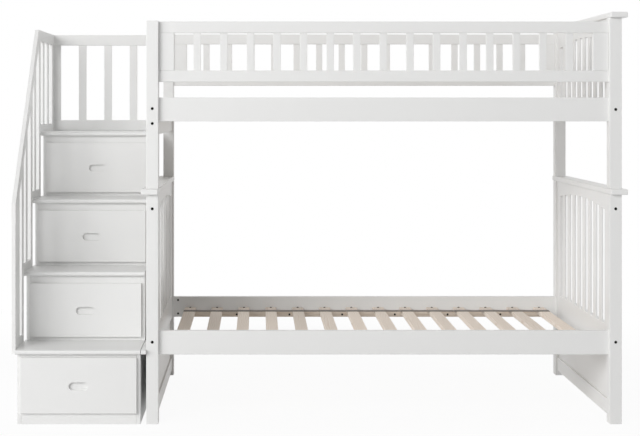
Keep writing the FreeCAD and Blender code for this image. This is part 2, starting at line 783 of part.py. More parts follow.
def make_landing_guard():
    base = tread_top(step_count)
    y = rear - s.railing_thickness
    size = (s.stair_width, s.railing_thickness, s.landing_rail_height)
    top_base = handrail_top - s.landing_rail_height
    board("landing_guard", "landing_bottom_rail", (stair_left, y, base), size, along="x")
    board("landing_guard", "landing_top_rail", (stair_left, y, top_base), size, along="x")
    upright_base = base + s.landing_rail_height
    height = top_base - upright_base
    stiles = {"left": (stair_left, s.landing_stile_width)}
    stiles["right"] = (stair_right - s.landing_end_stile_width, s.landing_end_stile_width)
    for side, (x, width) in stiles.items():
        stile = (width, s.railing_thickness, height)
        board("landing_guard", f"landing_stile_{side}", (x, y, upright_base), stile, along="z")
    count = int(SIZES["landing_slat_count"])
    room = s.stair_width - s.landing_stile_width - s.landing_end_stile_width
    gap = (room - s.landing_slat_width * count) / (count + 1)
    slat_y = y + (s.railing_thickness - s.baluster_thickness) / 2
    slat = (s.landing_slat_width, s.baluster_thickness, height)
    for index in range(count):
        x = stair_left + s.landing_stile_width + gap + (s.landing_slat_width + gap) * index
        name = f"landing_slat_{index + 1}"
        board("landing_guard", name, (x, slat_y, upright_base), slat, along="z", radius=s.spindle_round)


def make_stair_spacers():
    """A strip beside the first tread, and round spacers at the back, between staircase and bed posts."""
    strip_front = box_front(1) - s.tread_nosing
    at = (stair_right + s.strip_gap, strip_front, tread_underside(1))
    size = (s.stair_gap - s.strip_gap, rear - strip_front, s.tread_thickness)
    strip = rounded(block("gap_strip_blank", at, size), s.nosing_round, "x", low="y")
    add("stair_spacers", "gap_strip", strip)
    for name, step in (("low", 2), ("high", step_count - 1)):
        height = tread_underside(step) + s.tread_thickness / 2
        at = (stair_right, rear - s.post_side / 2, height)
        spacer = rod(f"spacer_{name}_disc", "x", at, s.spacer_radius, s.stair_gap)
        add("stair_spacers", f"spacer_{name}", spacer)


make_posts()
for side_name in ("left", "right"):
    make_lower_end(side_name)
make_upper_ends()
make_bunk("lower", s.lower_rail_base)
make_bunk("upper", upper_rail_base)
for face_name in ("front", "rear"):
    make_guard(face_name)
make_fasteners()
for number in range(1, step_count + 1):
    make_step(number)
    make_drawer(number)
make_railing()
make_landing_guard()
make_stair_spacers()

# Holes are cut once every piece is in place, and pieces of one kind share a node
for name, tools in bores.items():
    cut = doc.addObject("Part::Cut", f"{name}_bored")
    cut.Base = pieces[name]
    if len(tools) > 1:
        joined = doc.addObject("Part::MultiFuse", f"{name}_bores")
        joined.Shapes = tools
        cut.Tool = joined
    else:
        cut.Tool = tools[0]
    pieces[name] = cut
finished = {}
for node, names in nodes.items():
    item = pieces[names[0]]
    if len(names) > 1:
        item = doc.addObject("Part::Compound", f"{node}_group")
        item.Links = [pieces[name] for name in names]
    item.Label = node
    finished[node] = item
doc.recompute()

# Nothing is written unless every object and every node's shape is sound
failed = [item.Label for item in doc.Objects if "Invalid" in item.State or "Error" in item.State]
if failed:
    raise RuntimeError(f"objects that did not build: {failed}")
for node, item in finished.items():
    if item.Shape.isNull() or not item.Shape.isValid():
        raise RuntimeError(f"{node} has no sound shape")
    if len(item.Shape.Solids) != len(nodes[node]):
        raise RuntimeError(f"{node} has {len(item.Shape.Solids)} solids for {len(nodes[node])} pieces")
os.makedirs("parts", exist_ok=True)
for node, item in finished.items():
    item.Shape.exportStep(f"parts/{node}.step")
boxes = [item.Shape.BoundBox for item in finished.values()]
low_corner = [min(getattr(box, f"{axis}Min") for box in boxes) for axis in "XYZ"]
high_corner = [max(getattr(box, f"{axis}Max") for box in boxes) for axis in "XYZ"]
print(f"{len(finished)} nodes, {sum(len(names) for names in nodes.values())} pieces")
print("low corner", [round(value, 2) for value in low_corner])
print("high corner", [round(value, 2) for value in high_corner])
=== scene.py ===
# %% [markdown]
# # A white bunk bed with a staircase of drawers
# The bed is solid wood and board under satin white lacquer, with bare slats. The wooden pieces come
# from the frame at their real size and keep their shape. This script gives them their finishes,
# adds the woven tapes, staples and screws, and sets up the studio.

# %% Load the frame
import math

import bmesh
import bpy
from mathutils import Matrix, Vector


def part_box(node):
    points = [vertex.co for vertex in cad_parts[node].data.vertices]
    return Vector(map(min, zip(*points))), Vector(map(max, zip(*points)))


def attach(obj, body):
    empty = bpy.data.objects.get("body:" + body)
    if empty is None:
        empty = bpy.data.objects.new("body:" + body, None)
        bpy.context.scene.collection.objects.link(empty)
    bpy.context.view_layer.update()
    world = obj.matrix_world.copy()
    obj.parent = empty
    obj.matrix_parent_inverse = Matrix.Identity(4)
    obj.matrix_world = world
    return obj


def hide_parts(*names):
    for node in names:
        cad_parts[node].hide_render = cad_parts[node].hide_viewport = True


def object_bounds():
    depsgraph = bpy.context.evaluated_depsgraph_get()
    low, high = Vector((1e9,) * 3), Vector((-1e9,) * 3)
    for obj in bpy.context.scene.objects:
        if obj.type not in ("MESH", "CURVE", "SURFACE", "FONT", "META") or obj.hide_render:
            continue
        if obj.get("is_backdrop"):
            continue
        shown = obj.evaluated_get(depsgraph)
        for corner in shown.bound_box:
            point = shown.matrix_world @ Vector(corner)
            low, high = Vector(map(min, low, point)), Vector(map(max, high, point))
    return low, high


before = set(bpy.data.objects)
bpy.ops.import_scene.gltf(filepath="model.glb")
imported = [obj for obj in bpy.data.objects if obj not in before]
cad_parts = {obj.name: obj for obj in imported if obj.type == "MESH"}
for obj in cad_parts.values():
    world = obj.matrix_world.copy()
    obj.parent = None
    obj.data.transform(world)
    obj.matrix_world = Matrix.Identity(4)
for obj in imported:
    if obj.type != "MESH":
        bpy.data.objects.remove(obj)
cad_low, cad_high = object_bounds()
MM = 0.001
print("frame:", len(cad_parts), "nodes, size", [round(x, 3) for x in cad_high - cad_low])

# %% [markdown]
# ## Camera
# The bed was seen square on: its long rails stay level and its posts upright, and only lines that
# run to the back meet in one point. A camera that tilts would lean the posts, so this one looks
# straight along +Y, and lens shift slides the picture instead. Its place follows from that point,
# from the width of one pixel on the posts' front plane, and from the distance.

# %% Camera
PICTURE_WIDTH, PICTURE_HEIGHT = 640, 436
VANISHING_X, VANISHING_Y = 257.6, 107.0
POST_EDGE_X, FLOOR_Y = 158.25, 424.25
PIXEL = 4.22 * MM
CAMERA_DISTANCE = 5.626

post_low, post_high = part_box("post_lower_front_left")
camera_data = bpy.data.cameras.new("photo_camera")
camera_data.lens = CAMERA_DISTANCE / PIXEL * camera_data.sensor_width / PICTURE_WIDTH
camera_data.shift_x = (PICTURE_WIDTH / 2 - VANISHING_X) / PICTURE_WIDTH
camera_data.shift_y = (VANISHING_Y - PICTURE_HEIGHT / 2) / PICTURE_WIDTH
camera = bpy.data.objects.new("photo_camera", camera_data)
camera.location = (
    post_high.x + (VANISHING_X - POST_EDGE_X) * PIXEL,
    post_low.y - CAMERA_DISTANCE,
    (FLOOR_Y - VANISHING_Y) * PIXEL,
)
camera.rotation_euler = (math.pi / 2, 0, 0)
bpy.context.collection.objects.link(camera)
bpy.context.scene.camera = camera
print("camera:", [round(x, 3) for x in camera.location], "lens", round(camera_data.lens, 2))

# %% [markdown]
# ## Helpers for every finish
# A colour is picked on screen as sRGB hex, but a shader works in linear light, so one function
# converts it. A second one adds a node with its settings and its inputs, given as values or as
# links. The others start a finish with the place of each point on its piece, and close it.

# %% Colour and node helpers


def linear(hex_colour):
    """sRGB hex to the linear colour with alpha that a shader takes."""
    channels = [int(hex_colour[i:i + 2], 16) / 255 for i in (1, 3, 5)]
    return (*[c / 12.92 if c <= 0.04045 else ((c + 0.055) / 1.055) ** 2.4 for c in channels], 1.0)


def add_node(tree, kind, inputs=None, **settings):
    """A node with its settings made and its inputs set or linked."""
    made = tree.nodes.new(kind)
    for name, value in settings.items():
        setattr(made, name, value)
    for name, value in (inputs or {}).items():
        if isinstance(value, bpy.types.NodeSocket):
            tree.links.new(value, made.inputs[name])
        else:
            made.inputs[name].default_value = value
    return made


def new_finish(name):
    """An empty material: its node tree and the Object coordinates of the piece that wears it."""
    finish = bpy.data.materials.new(name)
    finish.use_nodes = True
    finish.node_tree.nodes.clear()
    place = finish.node_tree.nodes.new("ShaderNodeTexCoord").outputs["Object"]
    return finish, finish.node_tree, place


def close_finish(tree, shader):
    """Hand a shader to the material's output."""
    add_node(tree, "ShaderNodeOutputMaterial", {"Surface": shader.outputs[0]})


WHITE = linear("#FFFFFF")
print("white:", WHITE, "mid grey:", round(linear("#808080")[0], 3))

# %% [markdown]
# ## Studio floor
# The bed stands on a plain pale floor in soft light. The floor shows itself to the camera mostly as
# plain white, and a share of it stays ordinary matt floor, so the bed keeps its shadow. Further off
# that share fades out, so the floor has no edge.

# %% Floor
FLOOR_REACH = 60.0
FLOOR_SHOWS = 0.06
SHADOW_REACH = 3.2


def seen_directly(tree):
    """1 for rays from the eye, by way of mirrors and glass too."""
    path = tree.nodes.new("ShaderNodeLightPath").outputs
    seen = path["Is Camera Ray"]
    for way in ("Is Glossy Ray", "Is Transmission Ray"):
        either = add_node(tree, "ShaderNodeMath", {0: seen, 1: path[way]}, operation="MAXIMUM")
        seen = either.outputs[0]
    return seen


def floor_paint():
    """Matt white paint that the eye sees mostly as plain white."""
    finish, tree, place = new_finish("matt_white_studio_floor")
    matt = add_node(tree, "ShaderNodeBsdfDiffuse", {"Color": linear("#EDEDED")})
    glow = add_node(tree, "ShaderNodeEmission", {"Color": WHITE, "Strength": 1.0})
    far = add_node(tree, "ShaderNodeVectorMath", {0: place}, operation="LENGTH")
    plain = add_node(tree, "ShaderNodeMapRange", {
        "Value": far.outputs["Value"], "From Min": SHADOW_REACH / 2, "From Max": SHADOW_REACH,
        "To Min": 1 - FLOOR_SHOWS, "To Max": 1.0}, interpolation_type="SMOOTHSTEP")
    share = add_node(tree, "ShaderNodeMath", {0: seen_directly(tree), 1: plain.outputs[0]},
                     operation="MULTIPLY")
    close_finish(tree, add_node(tree, "ShaderNodeMixShader", {
        0: share.outputs[0], 1: matt.outputs[0], 2: glow.outputs[0]}))
    return finish


floor_shape = bmesh.new()
bmesh.ops.create_grid(floor_shape, x_segments=1, y_segments=1, size=FLOOR_REACH / 2)
floor_mesh = bpy.data.meshes.new("studio_floor")
floor_shape.to_mesh(floor_mesh)
floor_shape.free()
floor_mesh.materials.append(floor_paint())
floor = bpy.data.objects.new("studio_floor", floor_mesh)
bpy.context.collection.objects.link(floor)
floor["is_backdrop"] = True
print("floor:", FLOOR_REACH, "m wide, shadow reaches", SHADOW_REACH, "m")

# %% [markdown]
# ## Studio world
# The world does the same as the floor. It is white to the eye and in reflections, and gives a
# quieter even light to everything else, which keeps the deepest corners of the bed readable.

# %% World
WORLD_LIGHT = 0.32


def studio_world():
    """White to the eye, and a quieter even light on the bed."""
    world = bpy.data.worlds.new("studio_world")
    world.use_nodes = True
    tree = world.node_tree
    tree.nodes.clear()
    light = add_node(tree, "ShaderNodeBackground", {"Color": WHITE, "Strength": WORLD_LIGHT})
    white = add_node(tree, "ShaderNodeBackground", {"Color": WHITE, "Strength": 1.0})
    mixed = add_node(tree, "ShaderNodeMixShader", {
        0: seen_directly(tree), 1: light.outputs[0], 2: white.outputs[0]})
    add_node(tree, "ShaderNodeOutputWorld", {"Surface": mixed.outputs[0]})
    return world


bpy.context.scene.world = studio_world()
bpy.context.scene.view_settings.view_transform = "Standard"
print("world: light", WORLD_LIGHT)

# %% [markdown]
# ## Lamps
# The faces that look left are brighter than those that look right, the fronts are brighter than the
# treads, and the boards throw thin shadows to the right. So the main soft box stands far off to the
# front left, and a lower one beside it reaches in between the bunks. One behind the staircase
# brightens the far slats, the right end and the back, and a weak one on the right keeps the shadow
# side open. Far lamps fade little from one end of a long bed to the other.

# %% Lamps


def soft_box(name, azimuth, elevation, distance, size, power):
    """A square area lamp that faces the bed. Azimuth 0 is the camera's side, in degrees."""
    around, up = math.radians(azimuth), math.radians(elevation)
    data = bpy.data.lights.new(name, "AREA")
    data.shape = "SQUARE"
    data.size = size
    data.energy = power
    lamp = bpy.data.objects.new(name, data)
    level = math.cos(up)
    away = Vector((math.sin(around) * level, -math.cos(around) * level, math.sin(up)))
    lamp.location = (cad_low + cad_high) / 2 + distance * away
    lamp.rotation_euler = (-away).to_track_quat("-Z", "Y").to_euler()
    bpy.context.collection.objects.link(lamp)
    print("lamp:", name, power, "W")


soft_box("key_soft_box", azimuth=-33, elevation=23, distance=12.0, size=5.0, power=565)
soft_box("left_soft_box", azimuth=-55, elevation=10, distance=12.0, size=5.0, power=355)
soft_box("right_soft_box", azimuth=85, elevation=30, distance=6.5, size=3.0, power=80)
soft_box("rear_soft_box", azimuth=-150, elevation=25, distance=12.0, size=4.0, power=260)

# %% [markdown]
# ## White lacquer
# The posts, rails and slats are pine, the panels and drawer fronts are board, and all are sprayed
# with satin white lacquer. Lacquer lies over the grain but doesn't quite hide it: the harder rings
# stand out by a few hundredths of a millimetre along the board. So the bump is a noise drawn out
# along the board, and each direction of board has its own version of the finish. Board has no
# grain, only the fine orange peel of the spray.

# %% Relief of the lacquer
GRAIN_WIDTH, GRAIN_LENGTH, GRAIN_SHARE = 5 * MM, 260 * MM, 0.8
PEEL_WIDTH = 2.5 * MM
LACQUER_RELIEF, LACQUER_DEPTH = 0.12, 0.3 * MM


def drawn_out(grain_axis, width, length):
    """The scale of a noise that is drawn out along the grain."""
    scale = [1 / width] * 3
    scale[grain_axis] = 1 / length
    return scale


def lacquer_relief(tree, place, grain_axis):
    """Orange peel of the spray, with the grain of pine under it where there is any."""
    peel = add_node(tree, "ShaderNodeTexNoise", {
        "Vector": place, "Scale": 1 / PEEL_WIDTH, "Detail": 1.0})
    height = peel.outputs["Fac"]
    if grain_axis is not None:
        drawn = add_node(tree, "ShaderNodeMapping", {
            "Vector": place, "Scale": drawn_out(grain_axis, GRAIN_WIDTH, GRAIN_LENGTH)})
        grain = add_node(tree, "ShaderNodeTexNoise", {
            "Vector": drawn.outputs[0], "Scale": 1.0, "Detail": 4.0, "Roughness": 0.6})
        both = add_node(tree, "ShaderNodeMath", {
            0: grain.outputs["Fac"], 1: GRAIN_SHARE, 2: height}, operation="MULTIPLY_ADD")
        height = both.outputs[0]
    return add_node(tree, "ShaderNodeBump", {
        "Height": height, "Strength": LACQUER_RELIEF, "Distance": LACQUER_DEPTH})


print("relief: grain", GRAIN_WIDTH / MM, "mm, orange peel", PEEL_WIDTH / MM, "mm")

# %% [markdown]
# ## The coat itself
# The coat is satin, and its gloss drifts a little over a hand's width. Along the edges it is rubbed
# thinner, which warms them. A bevel node turns the normal near an edge, and how far it turns says
# where the edge is. Painted edges would need a map for each board, and this needs none.

# %% White lacquer on pine and on board
LACQUER, LACQUER_THIN = linear("#EAEAE9"), linear("#DFDCD5")
CLOUD_WIDTH = 180 * MM
SATIN = (0.34, 0.46)
EDGE_RADIUS = 2.5 * MM
EDGE_STARTS, EDGE_FULL, EDGE_WEAR = 0.98, 0.75, 0.45


def white_lacquer(name, grain_axis=None):
    """Sprayed satin lacquer, over pine whose grain runs along an axis, or over board."""
    finish, tree, place = new_finish(name)
    bump = lacquer_relief(tree, place, grain_axis)
    cloud = add_node(tree, "ShaderNodeTexNoise", {
        "Vector": place, "Scale": 1 / CLOUD_WIDTH, "Detail": 3.0}).outputs["Fac"]
    soft_edge = add_node(tree, "ShaderNodeBevel", {"Radius": EDGE_RADIUS}, samples=4)
    face = tree.nodes.new("ShaderNodeNewGeometry").outputs["Normal"]
    turn = add_node(tree, "ShaderNodeVectorMath", {0: soft_edge.outputs[0], 1: face},
                    operation="DOT_PRODUCT")
    rubbed = add_node(tree, "ShaderNodeMapRange", {
        "Value": turn.outputs["Value"], "From Min": EDGE_STARTS, "From Max": EDGE_FULL,
        "To Max": EDGE_WEAR})
    worn = add_node(tree, "ShaderNodeMath", {0: rubbed.outputs[0], 1: cloud}, operation="MULTIPLY")
    colour = add_node(tree, "ShaderNodeMix", {
        "Factor": worn.outputs[0], "A": LACQUER, "B": LACQUER_THIN}, data_type="RGBA")
    gloss = add_node(tree, "ShaderNodeMapRange", {
        "Value": cloud, "To Min": SATIN[0], "To Max": SATIN[1]})
    close_finish(tree, add_node(tree, "ShaderNodeBsdfPrincipled", {
        "Base Color": colour.outputs["Result"], "Roughness": gloss.outputs[0], "IOR": 1.5,
        "Normal": bump.outputs[0]}))
    return finish


lacquer_on_board = white_lacquer("satin_white_lacquer_sprayed_on_board")
lacquer_along = [
    white_lacquer(f"satin_white_lacquer_on_pine_along_{name}", axis)
    for axis, name in enumerate("xyz")
]
print("lacquer:", lacquer_on_board.name, *[finish.name for finish in lacquer_along])

# %% [markdown]
# ## Bare slat wood
# The slats and the ledgers under them are sawn softwood without any finish, dry and matt. Each slat
# comes from another board, so each has its own tone and its own piece of the tree. For that, a
# point's place along the bed is counted in steps from slat to slat, and the count, with another
# hundred for the upper bunk, feeds a random draw.

# %% A draw for each board
SLAT_COUNT = 14
SLAT_WIDTH = 54 * MM
UPPER_BUNK_FROM = 1.0
UPPER_BUNK_COUNT = 100.0

slats_low, slats_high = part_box("slats_lower")
slat_pitch = (slats_high.x - slats_low.x - SLAT_WIDTH) / (SLAT_COUNT - 1)


def draw_per_board(tree, apart, board_axis, board_pitch, first_board):
    """A random value and colour, the same all over one board."""
    start = first_board - board_pitch / 4
    step = add_node(tree, "ShaderNodeMath", {0: apart.outputs[board_axis], 1: start},
                    operation="SUBTRACT")
    number = add_node(tree, "ShaderNodeMath", {0: step.outputs[0], 1: board_pitch},
                      operation="DIVIDE")
    board = add_node(tree, "ShaderNodeMath", {0: number.outputs[0]}, operation="FLOOR")
    upper = add_node(tree, "ShaderNodeMath", {0: apart.outputs["Z"], 1: UPPER_BUNK_FROM},
                     operation="GREATER_THAN")
    seed = add_node(tree, "ShaderNodeMath", {
        0: upper.outputs[0], 1: UPPER_BUNK_COUNT, 2: board.outputs[0]}, operation="MULTIPLY_ADD")
    return add_node(tree, "ShaderNodeTexWhiteNoise", {"W": seed.outputs[0]}, noise_dimensions="1D")


print("slats:", SLAT_COUNT, "on each bunk, pitch", round(slat_pitch / MM, 1), "mm")

# %% [markdown]
# ## Growth rings
# The rings are worked out as distance across the board, wavered by a noise that is drawn out along
# the grain: that gives long, nearly straight lines that drift into arches, as in a sawn board. Each
# ring darkens towards its late wood, and fine fibres lie over all of it.

# %% Rings and fibres
RING_WIDTH = 7 * MM
DRIFT_WIDTH, DRIFT_LENGTH, DRIFT_REACH = 60 * MM, 700 * MM, 70 * MM
LATE_WOOD_FROM, LATE_WOOD_SHARE = 0.45, 0.7
FIBRE_WIDTH, FIBRE_LENGTH, FIBRE_SHARE = 1.2 * MM, 60 * MM, 0.35


def ring_grain(tree, apart, moved, grain_axis, board_pitch):
    """How dark the wood is at a point: late wood of its ring, and fibres."""
    drawn = add_node(tree, "ShaderNodeMapping", {
        "Vector": moved, "Scale": drawn_out(grain_axis, DRIFT_WIDTH, DRIFT_LENGTH)})
    drift = add_node(tree, "ShaderNodeTexNoise", {
        "Vector": drawn.outputs[0], "Scale": 1.0, "Detail": 2.0})
    reach = add_node(tree, "ShaderNodeMath", {0: drift.outputs["Fac"], 1: DRIFT_REACH},
                     operation="MULTIPLY")
    across = add_node(tree, "ShaderNodeMath", {0: apart.outputs[1 - grain_axis], 1: board_pitch},
                      operation="PINGPONG")
    distance = add_node(tree, "ShaderNodeMath", {0: reach.outputs[0], 1: across.outputs[0]},
                        operation="ADD")
    rings = add_node(tree, "ShaderNodeMath", {0: distance.outputs[0], 1: RING_WIDTH},
                     operation="DIVIDE")
    ring = add_node(tree, "ShaderNodeMath", {0: rings.outputs[0]}, operation="FRACT")
    late = add_node(tree, "ShaderNodeMapRange", {
        "Value": ring.outputs[0], "From Min": LATE_WOOD_FROM, "From Max": 1.0,
        "To Max": LATE_WOOD_SHARE}, interpolation_type="SMOOTHSTEP")
    fine = add_node(tree, "ShaderNodeMapping", {
        "Vector": moved, "Scale": drawn_out(grain_axis, FIBRE_WIDTH, FIBRE_LENGTH)})
    fibre = add_node(tree, "ShaderNodeTexNoise", {
        "Vector": fine.outputs[0], "Scale": 1.0, "Detail": 3.0})
    return add_node(tree, "ShaderNodeMath", {
        0: fibre.outputs["Fac"], 1: FIBRE_SHARE, 2: late.outputs[0]},
        operation="MULTIPLY_ADD").outputs[0]


print("rings:", RING_WIDTH / MM, "mm, fibres", FIBRE_WIDTH / MM, "mm")

# %% [markdown]
# ## Sawn boards
# The draw moves each board to another place in the tree before its rings are worked out, and sets
# its tone. Late wood is smoother than early wood and stands a little proud of it, so the grain sets
# roughness and bump too. The slats run across the bed, the ledgers along it.

# %% Bare softwood
TREE_SPAN = (3, 3, 3)
BOARD_TONES = (0.90, 1.05)
SAWN_ROUGH = (0.78, 0.62)
SAWN_RELIEF, SAWN_DEPTH = 0.3, 0.3 * MM


def bare_softwood(name, grain_axis, board_axis, board_pitch, first_board, light, dark):
    """Sawn softwood with growth rings along an axis, and a tone of its own for each board."""
    finish, tree, place = new_finish(name)
    apart = add_node(tree, "ShaderNodeSeparateXYZ", {"Vector": place})
    draw = draw_per_board(tree, apart, board_axis, board_pitch, first_board)
    shift = add_node(tree, "ShaderNodeVectorMath", {0: draw.outputs["Color"], 1: TREE_SPAN},
                     operation="MULTIPLY")
    moved = add_node(tree, "ShaderNodeVectorMath", {0: place, 1: shift.outputs[0]}, operation="ADD")
    grain = ring_grain(tree, apart, moved.outputs[0], grain_axis, board_pitch)
    colour = add_node(tree, "ShaderNodeMix", {
        "Factor": grain, "A": linear(light), "B": linear(dark)}, data_type="RGBA")
    tone = add_node(tree, "ShaderNodeMapRange", {
        "Value": draw.outputs["Value"], "To Min": BOARD_TONES[0], "To Max": BOARD_TONES[1]})
    toned = add_node(tree, "ShaderNodeVectorMath", {
        0: colour.outputs["Result"], 1: tone.outputs[0]}, operation="MULTIPLY")
    bump = add_node(tree, "ShaderNodeBump", {
        "Height": grain, "Strength": SAWN_RELIEF, "Distance": SAWN_DEPTH})
    rough = add_node(tree, "ShaderNodeMapRange", {
        "Value": grain, "To Min": SAWN_ROUGH[0], "To Max": SAWN_ROUGH[1]})
    close_finish(tree, add_node(tree, "ShaderNodeBsdfPrincipled", {
        "Base Color": toned.outputs[0], "Roughness": rough.outputs[0], "IOR": 1.5,
        "Normal": bump.outputs[0]}))
    return finish


slat_wood = bare_softwood(
    "sawn_softwood_slats", grain_axis=1, board_axis="X", board_pitch=slat_pitch,
    first_board=slats_low.x, light="#F4EADF", dark="#E4D4C4")
ledger_wood = bare_softwood(
    "sawn_softwood_ledgers", grain_axis=0, board_axis="Y", board_pitch=1.0,
    first_board=-0.5, light="#EEE2D5", dark="#DCCAB8")
print("softwood:", slat_wood.name, ledger_wood.name)

# %% [markdown]
# ## Drawer plywood
# The drawer boxes and runners are clear-sealed birch plywood: pale faces with a fine, broken grain,
# and edges that show the layers of veneer as light and dark stripes. The normal picks the stripes:
# what looks up is taken for an edge, and the layers are stacked along the wall's thickness. A
# drawer's floor looks up too, but its stripes are as fine as grain.

# %% Birch plywood
VENEER = 1.5 * MM
PLY_GRAIN_WIDTH, PLY_GRAIN_LENGTH = 4 * MM, 90 * MM
PLY_FACE = linear("#E4D6BA"), linear("#CDB793")
PLY_EDGE = linear("#D9C6A2"), linear("#A98C64")
PLY_ROUGH = (0.42, 0.55)
PLY_RELIEF, PLY_DEPTH = 0.15, 0.2 * MM
LOOKS_UP = 0.8


def birch_plywood():
    """Clear-sealed plywood with a grained face and a striped edge."""
    finish, tree, place = new_finish("clear_sealed_birch_plywood")
    drawn = add_node(tree, "ShaderNodeMapping", {
        "Vector": place, "Scale": drawn_out(1, PLY_GRAIN_WIDTH, PLY_GRAIN_LENGTH)})
    grain = add_node(tree, "ShaderNodeTexNoise", {
        "Vector": drawn.outputs[0], "Scale": 1.0, "Detail": 5.0}).outputs["Fac"]
    face = add_node(tree, "ShaderNodeMix", {
        "Factor": grain, "A": PLY_FACE[0], "B": PLY_FACE[1]}, data_type="RGBA")
    apart = add_node(tree, "ShaderNodeSeparateXYZ", {"Vector": place})
    layer = add_node(tree, "ShaderNodeMath", {0: apart.outputs["X"], 1: VENEER},
                     operation="PINGPONG")
    dark = add_node(tree, "ShaderNodeMath", {0: layer.outputs[0], 1: VENEER / 2},
                    operation="GREATER_THAN")
    edge = add_node(tree, "ShaderNodeMix", {
        "Factor": dark.outputs[0], "A": PLY_EDGE[0], "B": PLY_EDGE[1]}, data_type="RGBA")
    normal = tree.nodes.new("ShaderNodeNewGeometry").outputs["Normal"]
    up = add_node(tree, "ShaderNodeSeparateXYZ", {"Vector": normal}).outputs["Z"]
    is_edge = add_node(tree, "ShaderNodeMath", {0: up, 1: LOOKS_UP}, operation="GREATER_THAN")
    colour = add_node(tree, "ShaderNodeMix", {
        "Factor": is_edge.outputs[0], "A": face.outputs["Result"], "B": edge.outputs["Result"]},
        data_type="RGBA")
    bump = add_node(tree, "ShaderNodeBump", {
        "Height": grain, "Strength": PLY_RELIEF, "Distance": PLY_DEPTH})
    rough = add_node(tree, "ShaderNodeMapRange", {
        "Value": grain, "To Min": PLY_ROUGH[0], "To Max": PLY_ROUGH[1]})
    close_finish(tree, add_node(tree, "ShaderNodeBsdfPrincipled", {
        "Base Color": colour.outputs["Result"], "Roughness": rough.outputs[0], "IOR": 1.5,
        "Normal": bump.outputs[0]}))
    return finish


plywood = birch_plywood()
print("plywood:", plywood.name, "veneers", VENEER / MM, "mm")

# %% [markdown]
# ## Metal
# The bolts, their nuts and the wood screws are steel with a black oxide skin: dark, half matt, with
# a faint mottle from the bath. Pins and staples are zinc plated, which is a paler, cooler grey.

# %% Black oxide and zinc
MOTTLE_WIDTH = 3 * MM
MOTTLE_RELIEF, MOTTLE_DEPTH = 0.1, 0.05 * MM


def plated_steel(name, plain, mottled, smooth, rough):
    """Steel whose plating differs a little in tone and gloss from spot to spot."""
    finish, tree, place = new_finish(name)
    mottle = add_node(tree, "ShaderNodeTexNoise", {
        "Vector": place, "Scale": 1 / MOTTLE_WIDTH, "Detail": 3.0}).outputs["Fac"]
    tint = add_node(tree, "ShaderNodeMix", {
        "Factor": mottle, "A": linear(plain), "B": linear(mottled)}, data_type="RGBA")
    gloss = add_node(tree, "ShaderNodeMapRange", {
        "Value": mottle, "To Min": smooth, "To Max": rough})
    bump = add_node(tree, "ShaderNodeBump", {
        "Height": mottle, "Strength": MOTTLE_RELIEF, "Distance": MOTTLE_DEPTH})
    close_finish(tree, add_node(tree, "ShaderNodeBsdfPrincipled", {
        "Base Color": tint.outputs["Result"], "Metallic": 1.0, "Roughness": gloss.outputs[0],
        "Normal": bump.outputs[0]}))
    return finish


black_oxide = plated_steel("black_oxide_steel", "#1B1B1C", "#2A2826", smooth=0.42, rough=0.6)
zinc = plated_steel("zinc_plated_steel", "#A9ACAF", "#8D9092", smooth=0.28, rough=0.45)
print("metal:", black_oxide.name, zinc.name)

# %% [markdown]
# ## Woven tape
# Flat polypropylene tape holds the slats at their spacing. Its weave is two sets of dull, dark
# threads that pass over and under each other, so a checker of small humps is enough: a sine along
# the tape times a sine across it. The colour follows the humps: the dips are painted darker as
# shade and the crests lighter as light, and a noise varies the tone of the threads. Real threads
# are near
# 1 mm, which is finer than a pixel here, so they are drawn twice as wide.

# %% Woven polypropylene
THREAD = 2 * MM
FUZZ_WIDTH = 9 * MM
THREAD_PAINTED_DIP_SHADE, THREAD_PAINTED_CREST_LIGHT = linear("#463D34"), linear("#776A5D")
WEAVE_RELIEF, WEAVE_DEPTH = 0.6, 0.4 * MM


def woven_tape():
    """Dull woven tape whose threads cross in a checker of humps, with painted shade in the dips."""
    finish, tree, place = new_finish("woven_polypropylene_tape")
    apart = add_node(tree, "ShaderNodeSeparateXYZ", {"Vector": place})
    waves = []
    for axis in "XY":
        phase = add_node(tree, "ShaderNodeMath", {0: apart.outputs[axis], 1: math.pi / THREAD},
                         operation="MULTIPLY")
        wave = add_node(tree, "ShaderNodeMath", {0: phase.outputs[0]}, operation="SINE")
        waves.append(wave.outputs[0])
    weave = add_node(tree, "ShaderNodeMath", {0: waves[0], 1: waves[1]}, operation="MULTIPLY")
    hump = add_node(tree, "ShaderNodeMapRange", {"Value": weave.outputs[0], "From Min": -1.0})
    fuzz = add_node(tree, "ShaderNodeTexNoise", {
        "Vector": place, "Scale": 1 / FUZZ_WIDTH, "Detail": 3.0})
    # Painted shade: the colour is darker in the dips of the weave and lighter on its crests, times
    # a noise for the threads' own tone.
    dip_shade_and_fuzz = add_node(tree, "ShaderNodeMath", {0: hump.outputs[0], 1: fuzz.outputs["Fac"]},
                     operation="MULTIPLY")
    colour = add_node(tree, "ShaderNodeMix", {
        "Factor": dip_shade_and_fuzz.outputs[0], "A": THREAD_PAINTED_DIP_SHADE, "B": THREAD_PAINTED_CREST_LIGHT}, data_type="RGBA")
    bump = add_node(tree, "ShaderNodeBump", {
        "Height": hump.outputs[0], "Strength": WEAVE_RELIEF, "Distance": WEAVE_DEPTH})
    close_finish(tree, add_node(tree, "ShaderNodeBsdfPrincipled", {
        "Base Color": colour.outputs["Result"], "Roughness": 0.75, "IOR": 1.49,
        "Sheen Weight": 0.2, "Normal": bump.outputs[0]}))
    return finish


tape_weave = woven_tape()
print("tape:", tape_weave.name, "threads", THREAD / MM, "mm")

# %% [markdown]
# ## Which piece wears which finish
# Boards wear the lacquer whose grain runs along their length, sheets wear the one for board. The
# names of the nodes say what each piece is, so a short list of name beginnings is enough, with the
# longer ones first.

